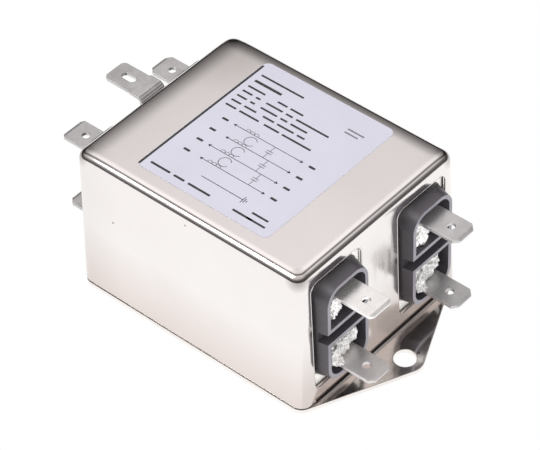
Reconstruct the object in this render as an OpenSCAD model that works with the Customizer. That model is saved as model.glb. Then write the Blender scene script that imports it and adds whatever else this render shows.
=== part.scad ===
// Three-phase RFI line filter in a drawn metal can
// Millimetres, +Z up. The origin is the centre of the base plate's underside,
// with the load terminals at +X and the line terminals and the ground tab at -X.

/* [Can] */
// Outer length of the can at its top
can_length = 59.8; // [56:0.1:80]
// Outer width of the can at its top
can_width = 48.3; // [47:0.1:70]
// Height of the can above the base plate
can_height = 36.2; // [35.8:0.1:50]
// Thickness of the can's sheet
can_wall = 0.7; // [0.4:0.05:0.9]
// How far each side leans out from top to bottom
can_draft = 0.7; // [0.1:0.1:1.2]
// Radius of the upright corners
can_corner_r = 4.6; // [3:0.1:7]
// Radius of the edges round the top
can_edge_r = 1.4; // [1.1:0.1:2.4]

/* [Base plate] */
// Thickness of the base plate
base_t = 1; // [0.8:0.1:2]
// Distance from the can's foot to the centre of each mounting hole
ear_reach = 6; // [5:0.1:12]
// Diameter of the mounting holes
mount_hole_d = 4.75; // [3:0.05:5.5]
// Radius of the rounded tip of each mounting ear
ear_tip_r = 4.1; // [3.5:0.1:6]
// Height of the pressed step that centres the can
step_height = 0.8; // [0.4:0.1:1.5]
// Gap between the pressed step and the can
step_gap = 0.3; // [0.1:0.05:0.6]

/* [Terminal insulators] */
// Distance from each column to the can's side
column_side_gap = 3.9; // [3.4:0.1:5.2]
// Distance between the two columns at one end
column_middle_gap = 12.5; // [10.4:0.1:14.4]
// Distance from a column's top to the can's top
column_top_gap = 4.3; // [4:0.1:6]
// Distance from a column's foot to the base plate
column_foot_gap = 4.9; // [4.4:0.1:7]
// How far a column stands out past the top edge of the can
column_proud = 3; // [1:0.1:6]
// How far each side of a column leans in from the can to the front
column_draft = 0.8; // [0.1:0.1:1]
// Radius of a column's corners
column_corner_r = 4.3; // [3.4:0.1:5]
// Thickness of the walls round a cup
cup_wall = 0.9; // [0.6:0.05:1.4]
// Depth of a cup
cup_depth = 4.4; // [3:0.1:5]
// Width of the groove between the two cups
groove_width = 2.7; // [1.5:0.1:4]
// Depth of the groove between the two cups
groove_depth = 2.4; // [1:0.1:2.8]
// Thickness of the flange behind the can's wall
flange_t = 1.4; // [1:0.1:1.8]
// How far the flange reaches past the column
flange_lip = 1.6; // [1.1:0.1:1.7]
// Gap between a column and its window in the can, at the sides and the top
window_gap = 0.7; // [0.3:0.1:0.9]
// Gap between a column's foot and its window
window_foot_gap = 1.5; // [0.3:0.1:1.7]
// Radius of a window's corners
window_corner_r = 2; // [0.5:0.1:3]

/* [Terminal tabs] */
// Width of a quick-connect tab
tab_width = 6.35; // [4.75:0.05:6.35]
// Thickness of a quick-connect tab
tab_t = 0.8; // [0.5:0.05:1]
// Distance from a column's end to the middle of its tab
tab_end_gap = 4.25; // [3.5:0.05:5]
// How far a tab's tip stands out past the front of its column
tab_proud = 8.6; // [7:0.1:12]
// Distance from a tab's tip to its hole
tab_hole_setback = 4; // [3:0.1:5]
// Diameter of the hole in a tab
tab_hole_d = 1.8; // [1:0.1:2.2]
// How far the wire on each tab sits off the tab's middle
wire_shift = 1.8; // [0:0.1:2.2]
// Radius of a solder joint round its wire
solder_r = 1.8; // [1:0.1:2]
// Chamfer on the corners of a tab's tip
tab_chamfer = 0.8; // [0.3:0.1:1.5]
// Bevel on the faces of a tab's tip
tab_bevel = 0.25; // [0.1:0.05:0.35]
// Width of the shoulders that hold a tab behind its column
tab_shoulder_width = 8; // [6.8:0.1:9]
// Length of the shoulders
tab_shoulder = 1.2; // [0.8:0.1:2]

/* [Ground tab] */
// Distance from the can's top down to the ground tab's upper face
ground_drop = 1; // [0.5:0.1:3]
// How far the ground tab's tip stands out past the top edge of the can
ground_proud = 11.5; // [9:0.1:18]
// Width of the ground tab's blade
ground_width = 6.2; // [4.75:0.05:6.35]
// Width of the ground tab's root and leg
ground_root_width = 7; // [6.4:0.1:9]
// Inner radius of the bend
ground_bend_r = 0.8; // [0.4:0.1:1.6]
// Length of the leg below the ground tab's upper face
ground_leg = 12.8; // [11:0.1:15]
// Length of the slot in the ground tab
ground_slot_length = 3.6; // [2:0.1:5]
// Width of the slot in the ground tab
ground_slot_width = 1.8; // [1:0.1:2.5]
// Diameter of the rivet's shank
rivet_d = 3; // [2:0.1:3.5]
// Diameter of the rivet's heads
rivet_head_d = 5; // [4:0.1:6]
// Thickness of the rivet's heads
rivet_head_t = 0.8; // [0.5:0.1:1]

/* [Label] */
// Length of the label along the can
label_length = 34.4; // [20:0.1:50]
// Width of the label across the can
label_width = 40; // [20:0.1:42]
// Thickness of the label
label_t = 0.12; // [0.05:0.01:0.3]
// Radius of the label's corners
label_corner_r = 0.5; // [0.3:0.1:4]
// How far the label sits off the middle, across the can
label_shift = 0.9; // [-2:0.1:2]

/* [Choke] */
// Gap between the choke and the wires that run past it
choke_gap = 0.55; // [0.3:0.05:2]
// Bore of the ring core as a share of its outer radius
core_bore_share = 0.555; // [0.5:0.005:0.62]
// Height of the ring core as a share of the can's height
core_height_share = 0.304; // [0.2:0.002:0.32]
// Radius of the coated core's edges
core_edge_r = 1.4; // [1.2:0.1:2]
// Diameter of the enamelled wire
wire_d = 1.2; // [0.8:0.05:1.2]
// Distance between the turns in the bore of the core
turn_pitch = 1.6; // [1.4:0.05:3]
// Least gap between a winding and the fins in the bore
divider_gap = 0.4; // [0.2:0.05:1]
// Thickness of the fins that keep the windings apart
divider_t = 1; // [0.6:0.1:1.4]

/* [Filling] */
// Depth of the potting resin as a share of the can's height
resin_share = 0.304; // [0.24:0.002:0.33]
// Thickness of the insulating film
film_t = 0.25; // [0.1:0.05:0.4]

/* [Capacitors and resistors] */
// Length of a line-to-line capacitor
xcap_length = 18; // [12:0.1:20]
// Width of a line-to-line capacitor
xcap_width = 5; // [4:0.1:7]
// Gap between the choke and the bare wire above it
bus_gap = 0.3; // [0.1:0.05:1]
// Distance between the line-to-line capacitors
xcap_pitch = 11; // [8:0.1:14]
// Length of the line-to-ground capacitor
ycap_length = 13; // [9:0.1:15]
// Width of the line-to-ground capacitor
ycap_width = 4.5; // [3.5:0.1:5]
// Diameter of a capacitor's leads
cap_lead_d = 0.8; // [0.5:0.1:1]
// Length of a capacitor's leads
cap_lead = 3; // [2:0.1:3.4]
// Diameter of a bleeder resistor's body
resistor_d = 3.2; // [2:0.1:3.6]
// Length of a bleeder resistor's body
resistor_length = 9; // [6:0.1:10]

/* [Hidden] */
$fn = 48;

// Cuts run past the faces that they open by this much
overrun = 0.5;
// Clearance round pieces that pass through or sit in one another
fit_gap = 0.05;
// Clearance between the choke's wire and what it passes
wire_gap = 0.1;

// The can, from its named sizes
can_top_z = base_t + can_height;
roof_z = can_top_z - can_wall;
draft_slope = can_draft / (can_height - can_edge_r - can_wall);
foot_length = can_length + 2 * can_draft;
foot_width = can_width + 2 * can_draft;
mount_pitch = foot_length + 2 * ear_reach;
// Half length of the can's outer face at a height
function end_wall_x(z) = can_length / 2 + draft_slope * max(can_top_z - can_edge_r - z, 0);

// Terminal columns, which take up the room left on the can's end wall
column_width = can_width / 2 - column_side_gap - column_middle_gap / 2;
column_y = (column_middle_gap + column_width) / 2;
column_height = can_height - column_top_gap - column_foot_gap;
column_mid_z = base_t + column_foot_gap + column_height / 2;
column_front_x = can_length / 2 + column_proud;
front_width = column_width - 2 * column_draft;
front_height = column_height - 2 * column_draft;
cup_corner_r = column_corner_r - column_draft / 2 - cup_wall;
film_x = can_length / 2 - can_wall - 2 * fit_gap;
flange_front_x = film_x - film_t - fit_gap;
flange_back_x = flange_front_x - flange_t;
cup_floor_x = column_front_x - cup_depth;
cup_split = groove_width / 2 + cup_wall;
// The flange's side lips sit further back, clear of the film's round corners
film_corner_r = can_corner_r - can_wall - 2 * fit_gap;
side_lip_in = max(can_corner_r - column_side_gap + flange_lip, 0);
side_lip_x = can_length / 2 - can_corner_r - fit_gap
    + sqrt(pow(film_corner_r - film_t, 2) - pow(side_lip_in, 2));
flange_notch_width = column_width - 2 * column_corner_r + 2 * cup_wall;
flange_notch_height = column_height - 2 * column_corner_r + 2 * cup_wall;

// Terminal tabs
tab_tip_x = column_front_x + tab_proud;
tab_back_x = flange_back_x - fit_gap - tab_shoulder;
tab_z = column_height / 2 - tab_end_gap;
wire_z = tab_z - tab_t / 2 - wire_d / 2 - fit_gap;
solder_x = cup_floor_x + wire_d;

// Film liner and resin
film_y = can_width / 2 - can_wall - 2 * fit_gap;
film_top_z = can_top_z - can_edge_r;
film_foot_z = base_t + step_height + 2 * fit_gap;
resin_top_z = film_top_z - film_t;
resin_depth = resin_share * can_height;
resin_level_z = resin_top_z - resin_depth;

// Choke, lying on the base plate, with room for a wire to run past its turns
wire_offset = wire_d / 2 + wire_gap;
core_z = base_t + step_height + wire_d + 2 * wire_gap;
core_height = core_height_share * can_height;
core_top_z = core_z + core_height;
core_mid_z = core_z + core_height / 2;
winding_top_z = core_top_z + wire_offset + wire_d / 2;
side_y = film_y - film_t - 2 * wire_d;
turn_x = tab_back_x - 2 * wire_d;
core_outer_r = min(side_y, turn_x) - choke_gap - wire_d - wire_offset;
core_inner_r = core_bore_share * core_outer_r;

// As many turns as fit in a quarter of the bore, clear of the fins
bore_run_r = core_inner_r - wire_offset;
winding_pitch = turn_pitch / bore_run_r * 180 / PI;
winding_clear = asin((divider_t / 2 + wire_d / 2 + divider_gap) / bore_run_r);
winding_turns = floor((90 - 2 * winding_clear) / winding_pitch);
winding_sides = 6;

// Capacitors, hanging from the resin, and resistors under them
cap_seat = resin_depth / 2;
cap_top_z = resin_level_z + cap_seat;
bus_z = winding_top_z + bus_gap + cap_lead_d / 2;
xcap_z = bus_z + cap_lead_d / 2 + fit_gap + cap_lead;
ground_lead_d = wire_d / 2;
ground_lead_z = bus_z + (cap_lead_d + ground_lead_d) / 2 + bus_gap;
ycap_z = ground_lead_z + ground_lead_d / 2 + fit_gap + cap_lead;
xcap_lead_x = xcap_length / 2 - 2 * cap_lead_d;
ycap_x = xcap_length / 2 + 2 * ycap_width;
ycap_lead_y = ycap_length / 2 - 2 * cap_lead_d;
resistor_z = xcap_z - fit_gap - resistor_d / 2;
resistor_lead_d = 0.8 * cap_lead_d;

// Ground tab, modelled at +X and mirrored to -X
ground_z = can_top_z - ground_drop;
ground_reach = can_length / 2 + ground_proud;
ground_leg_end_z = ground_z - ground_leg;
ground_leg_x = end_wall_x(ground_leg_end_z) + fit_gap;
rivet_z = ground_leg_end_z + ground_root_width / 2;
rivet_inner_x = end_wall_x(rivet_z + rivet_head_d / 2) - can_wall - fit_gap;
ground_slot_x = ground_reach - 1.2 * ground_slot_length;
ground_run_z = resin_level_z - 2 * wire_d;

// Rectangle with true round corners, centred
module rounded_rect(width, height, r) {
    square([width - 2 * r, height], center = true);
    square([width, height - 2 * r], center = true);
    for (sx = [-1, 1], sy = [-1, 1])
        translate([sx * (width / 2 - r), sy * (height / 2 - r)])
            circle(r = r);
}

// A drawing in Y and Z, extruded along X
module end_prism(from_x, to_x) {
    translate([from_x, 0, 0])
        rotate([90, 0, 90])
            linear_extrude(to_x - from_x)
                children();
}

// Moves children made for the +X end, with their column's middle at y = z = 0
module at_column(end, row) {
    mirror([end < 0 ? 1 : 0, 0, 0])
        translate([0, row * column_y, column_mid_z])
            children();
}

// Drawn can form: four torus corners over four upright feet
module can_form(inset, foot_drop) {
    corner = can_corner_r - inset;
    edge = can_edge_r - inset;
    hull()
        for (sx = [-1, 1], sy = [-1, 1]) {
            translate([sx * (can_length / 2 - can_corner_r), sy * (can_width / 2 - can_corner_r),
                       can_top_z - can_edge_r])
                rotate_extrude()
                    translate([corner - edge, 0])
                        circle(r = edge, $fn = 24);
            translate([sx * (foot_length / 2 - can_corner_r), sy * (foot_width / 2 - can_corner_r),
                       base_t - foot_drop])
                cylinder(r = corner, h = can_wall + foot_drop);
        }
}

module can_shell() {
    color("gainsboro")
        difference() {
            can_form(0, 0);
            can_form(can_wall, overrun);
            for (end = [-1, 1], row = [-1, 1])
                at_column(end, row)
                    end_prism(column_front_x - 2 * cup_depth, column_front_x)
                        translate([0, (window_gap - window_foot_gap) / 2])
                            rounded_rect(column_width + 2 * window_gap,
                                         column_height + window_gap + window_foot_gap, window_corner_r);
            mirror([1, 0, 0])
                translate([0, 0, rivet_z])
                    end_prism(rivet_inner_x - overrun, ground_leg_x + overrun)
                        circle(d = rivet_d + 2 * fit_gap);
        }
}

// Plan of the base plate: the can's foot, and an ear at each end that runs
// tangent from the foot's corners to a round tip
module base_plan() {
    corner_x = foot_length / 2 - can_corner_r;
    corner_y = foot_width / 2 - can_corner_r;
    tip_x = mount_pitch / 2;
    run = tip_x - corner_x;
    lean = atan2(corner_y, run);
    spread = asin((can_corner_r - ear_tip_r) / norm([run, corner_y]));
    side = [sin(lean + spread), cos(lean + spread)];
    rounded_rect(foot_length, foot_width, can_corner_r);
    for (end = [-1, 1])
        scale([end, 1]) {
            translate([tip_x, 0])
                circle(r = ear_tip_r);
            polygon([
                [corner_x, -corner_y],
                [corner_x + can_corner_r * side[0], -corner_y - can_corner_r * side[1]],
                [tip_x + ear_tip_r * side[0], -ear_tip_r * side[1]],
                [tip_x, 0],
                [tip_x + ear_tip_r * side[0], ear_tip_r * side[1]],
                [corner_x + can_corner_r * side[0], corner_y + can_corner_r * side[1]],
                [corner_x, corner_y]
            ]);
        }
}

module base_plate() {
    color("silver")
        union() {
            linear_extrude(base_t)
                difference() {
                    base_plan();
                    for (end = [-1, 1])
                        translate([end * mount_pitch / 2, 0])
                            circle(d = mount_hole_d);
                }
            translate([0, 0, base_t])
                linear_extrude(step_height)
                    rounded_rect(foot_length - 2 * (can_wall + step_gap + can_draft),
                                 foot_width - 2 * (can_wall + step_gap + can_draft),
                                 can_corner_r - can_wall - step_gap);
        }
}

// Mouth of the upper cup, up to the column's rounded end
module cup_mouth() {
    intersection() {
        rounded_rect(front_width - 2 * cup_wall, front_height - 2 * cup_wall, cup_corner_r);
        translate([-column_width / 2, cup_split])
            square([column_width, column_height]);
    }
}

// Column's outline, straight behind the can's wall and tapered in front of it
module column_body() {
    end_prism(flange_back_x, film_x)
        rounded_rect(column_width, column_height, column_corner_r);
    translate([film_x, 0, 0])
        rotate([90, 0, 90])
            linear_extrude(column_front_x - film_x, slices = 1,
                           scale = [front_width / column_width, front_height / column_height])
                rounded_rect(column_width, column_height, column_corner_r);
}

module insulator() {
    color("#46424a")
        difference() {
            union() {
                column_body();
                end_prism(flange_back_x, side_lip_x)
                    square([column_width + 2 * flange_lip, flange_notch_height], center = true);
                end_prism(flange_back_x, flange_front_x)
                    square([flange_notch_width, column_height + 2 * flange_lip], center = true);
            }
            for (flip = [0, 1])
                mirror([0, 0, flip]) {
                    end_prism(cup_floor_x, column_front_x + overrun)
                        cup_mouth();
                    translate([0, 0, tab_z])
                        end_prism(flange_back_x - overrun, column_front_x)
                            square([tab_width + 2 * fit_gap, tab_t + 2 * fit_gap], center = true);
                    translate([0, -wire_shift, wire_z])
                        end_prism(flange_back_x - overrun, column_front_x)
                            circle(d = wire_d + 2 * fit_gap);
                }
            end_prism(column_front_x - groove_depth, column_front_x + overrun)
                square([column_width + 2 * overrun, groove_width], center = true);
        }
}

// One quick-connect tab, lying in the XY plane at z = 0
module tab_blade() {
    color("darkgray")
        intersection() {
            linear_extrude(tab_t, center = true)
                difference() {
                    union() {
                        polygon([
                            [tab_back_x, -tab_width / 2],
                            [tab_tip_x - tab_chamfer, -tab_width / 2],
                            [tab_tip_x, -tab_width / 2 + tab_chamfer],
                            [tab_tip_x, tab_width / 2 - tab_chamfer],
                            [tab_tip_x - tab_chamfer, tab_width / 2],
                            [tab_back_x, tab_width / 2]
                        ]);
                        translate([tab_back_x, -tab_shoulder_width / 2])
                            square([tab_shoulder, tab_shoulder_width]);
                    }
                    translate([tab_tip_x - tab_hole_setback, 0])
                        circle(d = tab_hole_d);
                }
            rotate([90, 0, 0])
                linear_extrude(2 * tab_shoulder_width, center = true)
                    polygon([
                        [tab_back_x, -tab_t / 2],
                        [tab_tip_x - 3 * tab_bevel, -tab_t / 2],
                        [tab_tip_x, -tab_t / 2 + tab_bevel],
                        [tab_tip_x, tab_t / 2 - tab_bevel],
                        [tab_tip_x - 3 * tab_bevel, tab_t / 2],
                        [tab_back_x, tab_t / 2]
                    ]);
        }
}

// Tabs count from the near upper one: 1 and 2 upper, 3 and 4 lower
module tab(end, number) {
    row = number % 2 == 1 ? -1 : 1;
    level = number < 3 ? 1 : -1;
    at_column(end, row)
        translate([0, 0, level * tab_z])
            tab_blade();
}

// Ground tab: a stepped blade, a bend and a leg on the can's end wall
module ground_tab() {
    bend_x = ground_leg_x + tab_t + ground_bend_r;
    bend_z = ground_z - tab_t - ground_bend_r;
    step_x = bend_x + tab_t + 2 * ground_bend_r;
    color("silver")
        mirror([1, 0, 0]) {
            translate([0, 0, ground_z - tab_t])
                linear_extrude(tab_t)
                    difference() {
                        union() {
                            translate([bend_x, -ground_root_width / 2])
                                square([step_x - bend_x, ground_root_width]);
                            polygon([
                                [step_x, -ground_width / 2],
                                [ground_reach - tab_chamfer, -ground_width / 2],
                                [ground_reach, -ground_width / 2 + tab_chamfer],
                                [ground_reach, ground_width / 2 - tab_chamfer],
                                [ground_reach - tab_chamfer, ground_width / 2],
                                [step_x, ground_width / 2]
                            ]);
                        }
                        translate([ground_slot_x, 0]) {
                            square([ground_slot_length - ground_slot_width, ground_slot_width], center = true);
                            for (side = [-1, 1])
                                translate([side * (ground_slot_length - ground_slot_width) / 2, 0])
                                    circle(d = ground_slot_width);
                        }
                    }
            translate([bend_x, 0, bend_z])
                rotate([90, 0, 0])
                    linear_extrude(ground_root_width, center = true)
                        intersection() {
                            difference() {
                                circle(r = ground_bend_r + tab_t);
                                circle(r = ground_bend_r);
                            }
                            translate([-ground_bend_r - tab_t, 0])
                                square(ground_bend_r + tab_t);
                        }
            difference() {
                end_prism(ground_leg_x, ground_leg_x + tab_t) {
                    translate([0, rivet_z])
                        circle(d = ground_root_width);
                    translate([-ground_root_width / 2, rivet_z])
                        square([ground_root_width, bend_z - rivet_z]);
                }
                translate([0, 0, rivet_z])
                    end_prism(ground_leg_x - overrun, ground_leg_x + tab_t + overrun)
                        circle(d = rivet_d + 2 * fit_gap);
            }
        }
}

module ground_rivet() {
    outer_x = ground_leg_x + tab_t + fit_gap;
    color("gainsboro")
        mirror([1, 0, 0])
            translate([0, 0, rivet_z])
                rotate([0, 90, 0])
                    rotate_extrude()
                        polygon([
                            [0, rivet_inner_x - rivet_head_t],
                            [rivet_head_d / 2, rivet_inner_x - rivet_head_t],
                            [rivet_head_d / 2, rivet_inner_x],
                            [rivet_d / 2, rivet_inner_x],
                            [rivet_d / 2, outer_x],
                            [rivet_head_d / 2, outer_x],
                            [rivet_head_d / 2, outer_x + rivet_head_t / 3],
                            [rivet_d / 2, outer_x + rivet_head_t],
                            [0, outer_x + rivet_head_t]
                        ]);
}

module label() {
    color("lavender")
        translate([0, label_shift, can_top_z])
            linear_extrude(label_t)
                rounded_rect(label_length, label_width, label_corner_r);
}

// Insulating film folded into the can, open below
module film_liner() {
    color("whitesmoke")
        difference() {
            translate([0, 0, film_foot_z])
                linear_extrude(film_top_z - film_foot_z)
                    rounded_rect(2 * film_x, 2 * film_y, film_corner_r);
            translate([0, 0, film_foot_z - overrun])
                linear_extrude(resin_top_z - film_foot_z + overrun)
                    rounded_rect(2 * (film_x - film_t), 2 * (film_y - film_t), film_corner_r - film_t);
            for (end = [-1, 1], row = [-1, 1])
                at_column(end, row)
                    end_prism(film_x - 2 * film_t, film_x + overrun)
                        rounded_rect(column_width + 4 * fit_gap, column_height + 4 * fit_gap,
                                     column_corner_r + 2 * fit_gap);
            mirror([1, 0, 0])
                translate([0, 0, rivet_z])
                    end_prism(film_x - 2 * film_t, film_x + overrun)
                        circle(d = rivet_head_d + 4 * fit_gap);
        }
}

// Path of one winding round the core, eight points to a turn
function turn_outline() = [
    [core_outer_r + wire_offset, core_z + wire_gap],
    [core_outer_r + wire_offset, core_top_z - wire_gap],
    [core_outer_r - wire_gap, core_top_z + wire_offset],
    [core_inner_r + wire_gap, core_top_z + wire_offset],
    [core_inner_r - wire_offset, core_top_z - wire_gap],
    [core_inner_r - wire_offset, core_z + wire_gap],
    [core_inner_r + wire_gap, core_z - wire_offset],
    [core_outer_r - wire_gap, core_z - wire_offset]
];

// The turns start and end on the outside of the core
function turns_path(middle) =
    let (outline = turn_outline(), steps = 8 * winding_turns, first = middle + winding_pitch * winding_turns / 2)
    [for (i = [0 : steps + 1])
        let (p = outline[i % 8], angle = first - winding_pitch * i / 8)
            [p[0] * cos(angle), p[0] * sin(angle), p[1]]];

// Round every inner corner of a path with an arc of four points
function rounded_path(points, r) = concat(
    [points[0]],
    [for (i = [1 : len(points) - 2])
        let (a = points[i] - points[i - 1],
             b = points[i + 1] - points[i],
             cut = min(r, norm(a) / 2, norm(b) / 2),
             from = points[i] - cut * a / norm(a),
             to = points[i] + cut * b / norm(b))
            for (t = [0, 1 / 3, 2 / 3, 1])
                (1 - t) * (1 - t) * from + 2 * t * (1 - t) * points[i] + t * t * to],
    [points[len(points) - 1]]
);

function unit(v) = v / norm(v);
function heading(path, i) = unit(path[min(i + 1, len(path) - 1)] - path[max(i - 1, 0)]);
function flatten(v, along) = unit(v - (v * along) * along);

// A round wire along a path, its rings carried from one to the next without twist
module wire(path, d, first_side) {
    last = len(path) - 1;
    sides = [for (i = 0, side = flatten(first_side, heading(path, 0));
                  i <= last;
                  i = i + 1, side = i > last ? side : flatten(side, heading(path, i))) side];
    rings = [for (i = [0 : last])
        let (up = cross(heading(path, i), sides[i]))
            for (k = [0 : winding_sides - 1])
                let (turn = 360 * k / winding_sides)
                    path[i] + d / 2 * (cos(turn) * sides[i] + sin(turn) * up)];
    walls = [for (i = [0 : last - 1], k = [0 : winding_sides - 1])
        let (next = (k + 1) % winding_sides, low = i * winding_sides, high = low + winding_sides)
            each [[low + k, high + k, high + next], [low + k, high + next, low + next]]];
    caps = [
        [for (k = [0 : winding_sides - 1]) k],
        [for (k = [winding_sides - 1 : -1 : 0]) last * winding_sides + k]
    ];
    polyhedron(rings, concat(walls, caps), convexity = 10);
}

// Windings 1 and 2 join the upper tabs and 3 and 4 the lower ones. The wire of
// each runs in one piece from its line tab, through its turns, to its load tab.
module choke_winding(number) {
    upper = number < 3;
    wire_height = column_mid_z + (upper ? wire_z : -wire_z);
    wire_y = column_y + (number % 2 == 1 ? wire_shift : -wire_shift);
    turns = turns_path(upper ? 45 : 135);
    low_z = core_z + core_height / 4;
    line_lead = upper
        ? [[-solder_x, wire_y, wire_height], [-turn_x, wire_y, wire_height],
           [-turn_x, wire_y, resin_level_z - 2 * wire_d], [-turn_x, side_y, core_mid_z],
           [-core_inner_r, side_y, low_z], [0, side_y, core_z]]
        : [[-solder_x, wire_y, wire_height], [-turn_x, wire_y, wire_height],
           [-turn_x, wire_y / 2, core_mid_z]];
    load_lead = upper
        ? [[turn_x, wire_y / 2, core_mid_z], [turn_x, wire_y, core_top_z],
           [turn_x, wire_y, wire_height], [solder_x, wire_y, wire_height]]
        : [[0, side_y, core_top_z], [core_inner_r, side_y, core_top_z - core_height / 4],
           [core_outer_r, side_y, core_mid_z], [turn_x, wire_y, wire_height],
           [solder_x, wire_y, wire_height]];
    path = concat(rounded_path(concat(line_lead, [turns[0]]), 2 * wire_d),
                  [for (i = [1 : len(turns) - 2]) turns[i]],
                  rounded_path(concat([turns[len(turns) - 1]], load_lead), 2 * wire_d));
    color("#b5651d")
        scale([1, number % 2 == 1 ? -1 : 1, 1])
            wire(path, wire_d, [0, 0, 1]);
}

module choke_core() {
    color("#3f5f4a")
        translate([0, 0, core_z])
            rotate_extrude($fn = 96)
                translate([(core_inner_r + core_outer_r) / 2, core_height / 2])
                    rounded_rect(core_outer_r - core_inner_r, core_height, core_edge_r);
}

// Cross of thin fins in the bore of the core
module choke_divider() {
    fin = core_inner_r - fit_gap;
    color("ivory")
        translate([0, 0, core_z + core_edge_r])
            linear_extrude(core_height - 2 * core_edge_r) {
                square([2 * fin, divider_t], center = true);
                square([divider_t, 2 * fin], center = true);
            }
}

// Box capacitor with two straight leads below, its length along X
module box_capacitor(length, width, height, lead_x) {
    translate([0, 0, height / 2])
        cube([length, width, height], center = true);
    for (side = [-1, 1])
        translate([side * lead_x, 0, -cap_lead])
            cylinder(d = cap_lead_d, h = cap_lead + fit_gap);
}

module x_capacitor(number) {
    color("goldenrod")
        translate([0, (number - 2) * xcap_pitch, xcap_z])
            box_capacitor(xcap_length, xcap_width, cap_top_z - xcap_z, xcap_lead_x);
}

module y_capacitor() {
    color("royalblue")
        translate([ycap_x, 0, ycap_z])
            rotate([0, 0, 90])
                box_capacitor(ycap_length, ycap_width, cap_top_z - ycap_z, ycap_lead_y);
}

// Axial resistor between the leads of one line-to-line capacitor
module bleeder_resistor(number) {
    reach = xcap_lead_x - cap_lead_d / 2 - fit_gap;
    collar = resistor_length / 5;
    color("burlywood")
        translate([0, (number - 2) * xcap_pitch, resistor_z])
            rotate([0, 90, 0]) {
                cylinder(d = resistor_lead_d, h = 2 * reach, center = true);
                cylinder(d = 0.85 * resistor_d, h = resistor_length, center = true);
                for (side = [-1, 1])
                    translate([0, 0, side * (resistor_length - collar) / 2])
                        cylinder(d = resistor_d, h = collar, center = true);
            }
}

// Bare wire that joins one lead of every line-to-line capacitor
module neutral_bus() {
    color("lightgray")
        translate([xcap_lead_x, 0, bus_z])
            rotate([90, 0, 0])
                cylinder(d = cap_lead_d, h = 2 * xcap_pitch + 2 * cap_lead_d, center = true);
}

// Resin under the liner's roof, with a seat for all that it holds
module potting_resin() {
    color("#2b2a33")
        difference() {
            translate([0, 0, resin_level_z])
                linear_extrude(resin_depth - fit_gap)
                    rounded_rect(2 * (flange_back_x - fit_gap), 2 * (film_y - film_t - fit_gap),
                                 film_corner_r - film_t - fit_gap);
            for (number = [1 : 3])
                translate([0, (number - 2) * xcap_pitch, resin_level_z])
                    cube([xcap_length, xcap_width, 2 * cap_seat], center = true);
            translate([ycap_x, 0, resin_level_z])
                cube([ycap_width, ycap_length, 2 * cap_seat], center = true);
            for (end = [-1, 1], row = [-1, 1])
                at_column(end, row) {
                    translate([tab_back_x - fit_gap, -tab_shoulder_width / 2 - fit_gap, tab_z - tab_t])
                        cube([tab_shoulder + flange_t, tab_shoulder_width + 2 * fit_gap, 2 * tab_t]);
                    translate([tab_back_x - 4 * wire_d, -wire_shift - wire_d, -column_height])
                        cube([8 * wire_d, 2 * wire_d, column_height + wire_z + wire_d]);
                }
        }
}

// Solder run round the wire's end on the inner face of each tab
module solder_joint() {
    difference() {
        hull() {
            translate([solder_x, -wire_shift, wire_z])
                sphere(r = solder_r, $fn = 20);
            translate([solder_x + wire_d / 2, wire_shift / 2, tab_z - tab_t])
                sphere(r = solder_r / 2, $fn = 16);
            translate([solder_x + wire_d, -wire_shift, tab_z - tab_t])
                sphere(r = solder_r / 2, $fn = 16);
        }
        translate([0, -tab_width, tab_z - tab_t / 2 - fit_gap / 2])
            cube([tab_tip_x, 2 * tab_width, tab_width]);
        translate([0, -wire_shift, wire_z])
            end_prism(0, solder_x + fit_gap)
                circle(d = wire_d + fit_gap);
        translate([0, -tab_width, 0])
            cube([cup_floor_x + fit_gap, 2 * tab_width, column_height]);
    }
}

module solder(end) {
    color("whitesmoke")
        for (row = [-1, 1], flip = [0, 1])
            at_column(end, row)
                mirror([0, 0, flip])
                    solder_joint();
}

// Lead from the rivet's inner head, through the film, to the ground capacitor
module ground_lead() {
    head_x = rivet_inner_x - rivet_head_t - ground_lead_d / 2 - fit_gap;
    path = rounded_path([
        [-head_x, 0, rivet_z],
        [-head_x, 0, ground_run_z],
        [-xcap_length / 2 - xcap_pitch / 2, 0, ground_run_z],
        [-xcap_length / 2, xcap_pitch / 2, ground_lead_z],
        [ycap_x, xcap_pitch / 2, ground_lead_z],
        [ycap_x, ycap_lead_y, ground_lead_z]
    ], 2 * wire_d);
    color("seagreen")
        wire(path, ground_lead_d, [0, 1, 0]);
}

can_shell();
base_plate();
at_column(1, -1) insulator();  // load_insulator_1
at_column(1, 1) insulator();  // load_insulator_2
at_column(-1, -1) insulator();  // line_insulator_1
at_column(-1, 1) insulator();  // line_insulator_2
tab(1, 1);  // load_tab_1
tab(1, 2);  // load_tab_2
tab(1, 3);  // load_tab_3
tab(1, 4);  // load_tab_4
tab(-1, 1);  // line_tab_1
tab(-1, 2);  // line_tab_2
tab(-1, 3);  // line_tab_3
tab(-1, 4);  // line_tab_4
ground_tab();
ground_rivet();
ground_lead();
label();
film_liner();
potting_resin();
choke_core();
choke_divider();
choke_winding(1);  // choke_winding_1
choke_winding(2);  // choke_winding_2
choke_winding(3);  // choke_winding_3
choke_winding(4);  // choke_winding_4
x_capacitor(1);  // x_capacitor_1
x_capacitor(2);  // x_capacitor_2
x_capacitor(3);  // x_capacitor_3
y_capacitor();
bleeder_resistor(1);  // bleeder_resistor_1
bleeder_resistor(2);  // bleeder_resistor_2
bleeder_resistor(3);  // bleeder_resistor_3
neutral_bus();
solder(1);  // load_solder
solder(-1);  // line_solder
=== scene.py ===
import math

import bmesh
import bpy
from mathutils import Matrix, Vector, noise


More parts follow.
